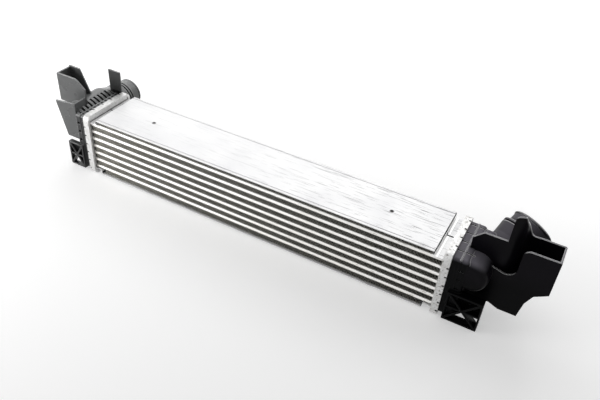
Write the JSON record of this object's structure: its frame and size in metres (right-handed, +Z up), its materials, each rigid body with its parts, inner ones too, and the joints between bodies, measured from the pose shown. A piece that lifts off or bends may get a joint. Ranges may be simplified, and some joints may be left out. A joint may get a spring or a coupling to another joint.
{
  "type": "charge-air intercooler",
  "caption": "Long crossflow intercooler: a brazed tube-and-fin aluminium core between two crimped-on moulded tanks with ribs, brackets and round hose ports.",
  "frame": {"origin": "middle of the lower side plate's underside", "axes": "+X along the core towards the tank with the angled port, +Y the way the cooling air leaves, +Z up through the stack of tubes"},
  "size_m": [0.8522, 0.1565, 0.184],
  "materials": {
    "core_aluminium": "satin, flux-brazed",
    "fin_aluminium": "rolled foil, dulled by brazing",
    "tank_plastic": "moulded glass-filled nylon, satin",
    "gasket_rubber": "matt"
  },
  "bodies": {
    "root": {"tube_1": "core_aluminium", "turbulator_1": "fin_aluminium", "tube_2": "core_aluminium", "turbulator_2": "fin_aluminium", "tube_3": "core_aluminium", "turbulator_3": "fin_aluminium", "tube_4": "core_aluminium", "turbulator_4": "fin_aluminium", "tube_5": "core_aluminium", "turbulator_5": "fin_aluminium", "tube_6": "core_aluminium", "turbulator_6": "fin_aluminium", "tube_7": "core_aluminium", "turbulator_7": "fin_aluminium", "fin_1": "fin_aluminium", "fin_2": "fin_aluminium", "fin_3": "fin_aluminium", "fin_4": "fin_aluminium", "fin_5": "fin_aluminium", "fin_6": "fin_aluminium", "fin_7": "fin_aluminium", "fin_8": "fin_aluminium", "side_plate_top": "core_aluminium", "side_plate_bottom": "core_aluminium", "header_left": "core_aluminium", "header_right": "core_aluminium", "gasket_left": "gasket_rubber", "gasket_right": "gasket_rubber", "end_tank_left": "tank_plastic", "end_tank_right": "tank_plastic"}
  },
  "joints": []
}
